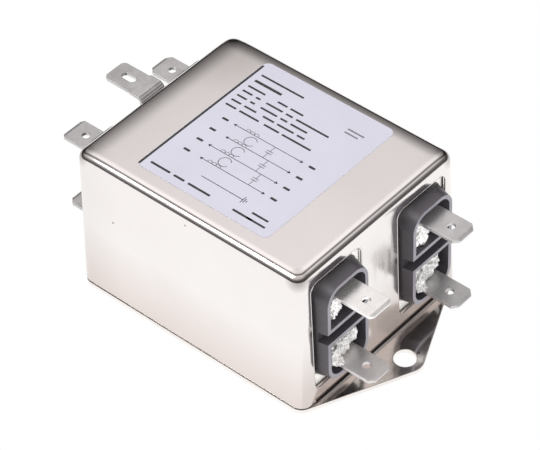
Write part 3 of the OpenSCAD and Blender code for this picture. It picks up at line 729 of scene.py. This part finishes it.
def make_ground_tab(material):
    """A slotted blade, wider past its fold, with a round end under the rivet."""
    fold = GROUND_TIP_X - FOLD_X
    leg = fold + FOLD_R * math.pi / 2
    round_u = leg + FOLD_Z - GROUND_END_Z - ROOT_HALF
    root = fold - 2.4
    outline = [(0, -GROUND_HALF + 0.9), (0.5, -GROUND_HALF + 0.2), (1.0, -GROUND_HALF),
               (root, -GROUND_HALF), (root + 0.6, -ROOT_HALF + 0.2)]
    outline += [(round_u + ROOT_HALF * math.sin(a), -ROOT_HALF * math.cos(a))
                for a in (math.pi * i / 16 for i in range(17))]
    outline += [(root + 0.5, ROOT_HALF), (root + 0.15, ROOT_HALF - 0.12), (root, GROUND_HALF),
                (1.0, GROUND_HALF), (0.5, GROUND_HALF - 0.2), (0, GROUND_HALF - 0.9)]
    slot_u, slot_run, slot_r = 4.32, 0.9, 0.9
    slot = [(slot_u + math.copysign(slot_run, math.cos(a)) + slot_r * math.cos(a), slot_r * math.sin(a))
            for a in (-2 * math.pi * (i + 0.5) / 32 for i in range(32))]
    bm = plate([outline, slot], TAB_T, 0.1)
    slice_across(bm, [fold + FOLD_R * math.pi / 2 * i / 8 for i in range(9)])
    for vert in bm.verts:
        u, side, off = (c / MM for c in vert.co)
        if u < fold:
            x, z = GROUND_TIP_X - u, GROUND_MID_Z + off
        elif u < leg:
            angle = (u - fold) / FOLD_R
            x = FOLD_X - (FOLD_R + off) * math.sin(angle)
            z = FOLD_Z + (FOLD_R + off) * math.cos(angle)
        else:
            x, z = FOLD_X - FOLD_R - off, FOLD_Z - (u - leg)
        vert.co = Vector((-x, side, z)) * MM
    finish_mesh(bm, "ground_tab_piece", material, 12, ("ground_tab",), weighted=False)


GROUND_TIN = plated("ground_tin", (0.56, 0.55, 0.55), (0.7, 0.69, 0.69), (0.24, 0.36), 240)
make_ground_tab(GROUND_TIN)
bevelled_copy("ground_rivet", GROUND_TIN, 0.1, 2)


# Solder: crinkled lumps round the wire's end behind each tab, and small ones on the upper tabs
def lump(bm, place, radii, seed, detail, limits, mirror):
    """A crinkled ball, in mm from its column's middle, kept between the cup's walls."""
    made = bmesh.ops.create_icosphere(bm, subdivisions=detail, radius=1.0)
    shift = Vector((seed * 1.7, seed * 3.1, seed * 0.9))
    low_x, low_z, high_z, half_y = limits
    end, row, level = mirror
    for vert in made["verts"]:
        n = vert.co.normalized()
        swell = 1 + 0.4 * noise.noise(n * 1.5 + shift) + 0.26 * noise.noise(n * 3.6 + shift)
        swell += 0.12 * noise.noise(n * 8.5 + shift)
        x, y, z = (c + r * swell * d for c, r, d in zip(place, radii, n))
        x = max(x, low_x)
        y = min(max(y, -half_y), half_y)
        z = min(max(z, low_z), high_z)
        vert.co = Vector((end * x, row * COLUMN_Y + y, COLUMN_Z + level * z)) * MM


# Middle and radii of each lump, from its column's middle, for near and far cups
UPPER_NEAR = (((31.0, -3.3, 6.4), (1.7, 1.8, 3.0)), ((30.2, -1.6, 6.9), (1.3, 1.5, 1.8)))
UPPER_FAR = (((30.8, -2.9, 6.0), (1.9, 2.2, 3.4)), ((30.0, -0.4, 4.8), (1.6, 2.4, 2.6)))
LOWER = (((31.0, -3.0, 7.4), (1.9, 2.2, 2.6)), ((30.8, -0.4, 6.4), (1.7, 2.4, 2.6)),
         ((31.0, 2.0, 5.8), (1.4, 1.8, 2.0)), ((32.4, -3.0, 8.6), (1.3, 1.2, 0.7)))
ON_TOP = (((28.8, -2.2, 9.9), (0.6, 0.9, 0.5)), ((28.8, 1.4, 9.8), (0.5, 0.6, 0.4)))


def make_solder(end_name, end, material):
    bm = bmesh.new()
    floor_x = CUP_FLOOR_X + 0.02
    below = (floor_x, 2.3, TAB_Z - 0.2, 5.25)
    above = (floor_x, TAB_Z + 0.2, 11.6, 4.6)
    detail = 5 if end > 0 else 4
    seed = 20 * end
    for row in (-1, 1):
        for level in (1, -1):
            lumps = LOWER if level < 0 else UPPER_NEAR if row < 0 else UPPER_FAR
            for place, radii in lumps:
                seed += 1
                lump(bm, place, radii, seed, detail, below, (end, row, level))
        for place, radii in ON_TOP:
            seed += 1
            lump(bm, place, radii, seed, 4, above, (end, row, 1))
    node = end_name + "_solder"
    finish_mesh(bm, node + "_piece", material, 60, (node,), weighted=False)


SOLDER = solder_material()
make_solder("load", 1, SOLDER)
make_solder("line", -1, SOLDER)


# Label: a plain sheet with a rule, a wiring diagram and plain bars, in thin ink
LABEL_X, LABEL_LOW_Y, LABEL_HIGH_Y = 17.2, -19.1, 20.9
LABEL_TOP, LABEL_T, LABEL_R, INK_T = 37.31, 0.11, 1.6, 0.008
LABEL = plain("label_film", (0.53, 0.53, 0.61), (0.56, 0.56, 0.64), (0.35, 0.5), 90)
INK = plain("label_ink", (0.02, 0.02, 0.022), (0.04, 0.04, 0.044), (0.4, 0.5), 400)
FAINT_INK = plain("label_faint_ink", (0.15, 0.15, 0.17), (0.2, 0.2, 0.22), (0.4, 0.5), 400)


def make_label():
    middle, half = (LABEL_LOW_Y + LABEL_HIGH_Y) / 2, (LABEL_HIGH_Y - LABEL_LOW_Y) / 2
    outline = [(x, y + middle) for x, y in rounded_loop(LABEL_X, half, LABEL_R, 10)]
    bm = plate([outline], LABEL_T, 0.02)
    for vert in bm.verts:
        vert.co.z += (LABEL_TOP - LABEL_T / 2) * MM
    finish_mesh(bm, "label_piece", LABEL, 40, ("label",))


class Ink:
    """Flat strokes on the label, each a thin box."""

    def __init__(self):
        self.bm = bmesh.new()

    def stroke(self, a, b, width):
        a, b = Vector((*a, 0)), Vector((*b, 0))
        along = (b - a).normalized()
        side = Vector((-along.y, along.x, 0)) * width / 2
        loops = [[(p.x, p.y, z) for p in (a - side, b - side, b + side, a + side)]
                 for z in (LABEL_TOP, LABEL_TOP + INK_T)]
        loft(self.bm, loops)

    def arc(self, x, y, radius, start, turn, width, count=10):
        points = [(x + radius * math.cos(math.radians(start + turn * i / count)),
                   y + radius * math.sin(math.radians(start + turn * i / count))) for i in range(count + 1)]
        for a, b in zip(points, points[1:]):
            self.stroke(a, b, width)

    def bars(self, x, y, runs, height):
        """A row of plain bars along X: each run is a length and the space after it."""
        for length, space in runs:
            self.stroke((x, y), (x + length, y), height)
            x += length + space

    def finish(self, name, material):
        finish_mesh(self.bm, name, material, 40, weighted=False)


# Plain bars of dark ink: where each row starts, its runs of length and space, its height
DARK_BARS = (
    (-15.2, 16.9, ((11.4, 0),), 0.5),
    (-15.2, 14.8, ((7.2, 0),), 0.7),
    (-15.2, 12.7, ((4.6, 3.4), (2.6, 0.8), (3.4, 0)), 0.5),
    (-15.2, 10.95, ((2.6, 1.0), (1.2, 1.6), (4.4, 0.9), (1.8, 0.9), (8.6, 0)), 0.5),
    (-15.2, 9.2, ((2.6, 1.0), (1.2, 1.6), (4.4, 0.9), (1.8, 0.9), (4.4, 0)), 0.5),
    (-15.2, 7.45, ((2.6, 0.9), (3.2, 1.8), (3.0, 0.8), (4.4, 0.9), (2.0, 0)), 0.5),
    (-15.2, 5.7, ((2.8, 0.9), (5.2, 1.4), (4.0, 0.8), (7.6, 0)), 0.5),
    (-15.2, -16.9, ((5.2, 1.0), (2.8, 1.0), (5.8, 6.0), (5.0, 0)), 0.55),
    (10.2, -15.2, ((4.2, 0),), 0.5),
    (10.2, -16.9, ((4.8, 0),), 0.5))
FAINT_BARS = ((9.2, 15.4, ((4.2, 0),), 0.4), (9.2, 14.3, ((3.4, 0),), 0.4))

# The wiring diagram's top line, the step from line to line, and its thin strokes' widths
WIRE_Y, WIRE_STEP, THIN, FINE = 2.0, 3.9, 0.2, 0.16


def print_label():
    dark, faint = Ink(), Ink()
    rule_x = -16.85
    dark.stroke((rule_x, -18.6), (rule_x, 19.4), 0.55)
    for ink, rows in ((dark, DARK_BARS), (faint, FAINT_BARS)):
        for row in rows:
            ink.bars(*row)
    for i in range(4):
        y = WIRE_Y - WIRE_STEP * i
        left, right = -9.6 + 1.2 * (i % 2), 8.6
        dark.stroke((left, y), (right, y), FINE)
        for tip, back in ((left, 0.6), (right, -0.6)):
            for slant in (0.3, -0.3):
                dark.stroke((tip, y), (tip + back, y + slant), THIN)
        for x in (-12.8, 10.2):
            dark.bars(x, y, ((1.6, 0),), 0.6)
        for k in range(3):
            faint.arc(-6.0 + 1.1 * k, y + 0.15, 0.55, 180, -180, FINE)
    for i in range(3):
        middle = WIRE_Y - WIRE_STEP * (i + 0.5)
        faint.arc(-3.6, middle + 0.05, 1.35, 30, 300, THIN, 16)
        x = 1.4 + 1.5 * i
        for side in (1, -1):
            faint.stroke((x, middle + 1.95 * side), (x, middle + 0.3 * side), FINE)
            faint.stroke((x - 0.8, middle + 0.3 * side), (x + 0.8, middle + 0.3 * side), THIN)
    earth_x, earth_y = 6.4, -13.6
    dark.stroke((-4.6, earth_y), (earth_x, earth_y), 0.18)
    for k, half in enumerate((1.0, 0.65, 0.3)):
        x = earth_x + 0.45 * k
        dark.stroke((x, earth_y - half), (x, earth_y + half), 0.18)
    dark.finish("label_ink_dark", INK)
    faint.finish("label_ink_faint", FAINT_INK)


make_label()
print_label()

# Materials of the pieces that keep the solids' own form, by the start of their names: two
# tones, the range of roughness, the grain's scale and how metallic each is
INNER_LOOKS = {
    "film_liner": ((0.84, 0.83, 0.8), (0.92, 0.91, 0.88), (0.3, 0.45), 150, 0.0),
    "potting_resin": ((0.015, 0.015, 0.02), (0.03, 0.03, 0.035), (0.25, 0.4), 150, 0.0),
    "choke_core": ((0.03, 0.09, 0.05), (0.05, 0.12, 0.07), (0.3, 0.45), 300, 0.0),
    "choke_divider": ((0.7, 0.66, 0.5), (0.76, 0.72, 0.56), (0.4, 0.5), 200, 0.0),
    "choke_winding": ((0.42, 0.14, 0.04), (0.55, 0.2, 0.06), (0.2, 0.3), 400, 0.6),
    "x_capacitor": ((0.6, 0.4, 0.06), (0.68, 0.47, 0.08), (0.35, 0.5), 250, 0.0),
    "y_capacitor": ((0.03, 0.09, 0.35), (0.05, 0.12, 0.42), (0.35, 0.5), 250, 0.0),
    "bleeder": ((0.62, 0.48, 0.26), (0.7, 0.55, 0.31), (0.3, 0.45), 300, 0.0),
    "neutral_bus": ((0.6, 0.6, 0.6), (0.75, 0.75, 0.74), (0.2, 0.35), 300, 1.0),
    "ground_lead": ((0.1, 0.35, 0.06), (0.14, 0.42, 0.09), (0.35, 0.5), 300, 0.0)}
for start, (low, high, rough, scale, metallic) in INNER_LOOKS.items():
    material = plain(start, low, high, rough, scale, metallic)
    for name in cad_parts:
        if name.startswith(start):
            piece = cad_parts[name]
            piece.data.materials.clear()
            piece.data.materials.append(material)


# Floor, world and lamps
def make_stage():
    """A floor that is white to the camera and nearly so in mirrors."""
    bm = bmesh.new()
    bmesh.ops.create_grid(bm, x_segments=8, y_segments=8, size=3)
    mesh = bpy.data.meshes.new("floor")
    bm.to_mesh(mesh)
    bm.free()
    floor = bpy.data.objects.new("floor", mesh)
    floor.location = (0, 0, -0.0002)
    SCENE.collection.objects.link(floor)
    n = Nodes("floor_white")
    n.set("Base Color", (0.86, 0.86, 0.86, 1))
    n.set("Roughness", 0.9)
    glow = n.add("ShaderNodeEmission")
    glow.inputs["Color"].default_value = (1, 1, 1, 1)
    glow.inputs["Strength"].default_value = 1.0
    path = n.add("ShaderNodeLightPath")
    mirrored = n.math("MULTIPLY", path.outputs["Is Glossy Ray"], 0.9)
    share = n.math("MAXIMUM", path.outputs["Is Camera Ray"], mirrored)
    mix = n.add("ShaderNodeMixShader")
    n.link(share, mix.inputs[0])
    n.link(n.shader.outputs[0], mix.inputs[1])
    n.link(glow.outputs[0], mix.inputs[2])
    n.link(mix.outputs[0], n.out.inputs["Surface"])
    mesh.materials.append(n.material)


# Brightness by height, how far the dark rises on its side, and a dark ring that only
# mirrors in the edges: its middle, and by cosine from the middle where its edges fade
SKY = ((0.0, 0.1), (0.3, 0.1), (0.48, 0.22), (0.6, 0.52), (0.7, 0.82), (0.8, 1.08), (1.0, 1.2))
DARK_SIDE, DARK_RISE = (0.82, 0.57, 0.0), 0.09
RING_MIDDLE = (-0.487, 0.523, 0.698)
RING_EDGES = ((0.87, 0.945, 0.2, 1.0), (0.64, 0.76, 1.0, 0.2))


def make_world():
    """Bright overhead and dark low down, higher up on the dark side."""
    world = bpy.data.worlds.new("studio")
    world.use_nodes = True
    t = Tree(world.node_tree)
    coords = t.add("ShaderNodeTexCoord").outputs["Generated"]

    def dot(direction):
        node = t.add("ShaderNodeVectorMath", operation="DOT_PRODUCT")
        t.link(coords, node.inputs[0])
        node.inputs[1].default_value = Vector(direction).normalized()
        return node.outputs["Value"]

    height = t.math("SUBTRACT", dot((0, 0, 1)), t.math("MULTIPLY", dot(DARK_SIDE), DARK_RISE))
    sky = t.ramp(height, *[(place, (value, value * 0.965, value * 0.96)) for place, value in SKY])
    path = t.add("ShaderNodeLightPath")
    across = dot(RING_MIDDLE)
    ring = path.outputs["Is Diffuse Ray"]
    for start, end, before, after in RING_EDGES:
        ring = t.math("MAXIMUM", ring, t.spread(across, before, after, start, end))
    seen = t.mix(path.outputs["Is Camera Ray"], t.multiply(sky, ring), (1, 1, 1))
    background = t.add("ShaderNodeBackground")
    t.link(seen, background.inputs["Color"])
    out = t.add("ShaderNodeOutputWorld")
    t.link(background.outputs[0], out.inputs["Surface"])
    SCENE.world = world


def lamp(name, place, goal, size, power, mirrored=True):
    """A soft rectangular lamp in metres and watts, aimed at its goal."""
    data = bpy.data.lights.new(name, "AREA")
    data.shape = "RECTANGLE"
    data.size, data.size_y = size
    data.energy = power
    piece = bpy.data.objects.new(name, data)
    SCENE.collection.objects.link(piece)
    piece.visible_glossy = mirrored
    piece.location = place
    piece.rotation_euler = (Vector(goal) - Vector(place)).to_track_quat("-Z", "Y").to_euler()


make_stage()
make_world()
lamp("key", (-0.35, -0.5, 0.9), (0, 0, 0.02), (0.5, 0.5), 5.0)
lamp("front", (0.7, -0.2, 0.3), (0.03, 0, 0.02), (0.4, 0.4), 5.0, mirrored=False)

SCENE.view_settings.view_transform = "Standard"
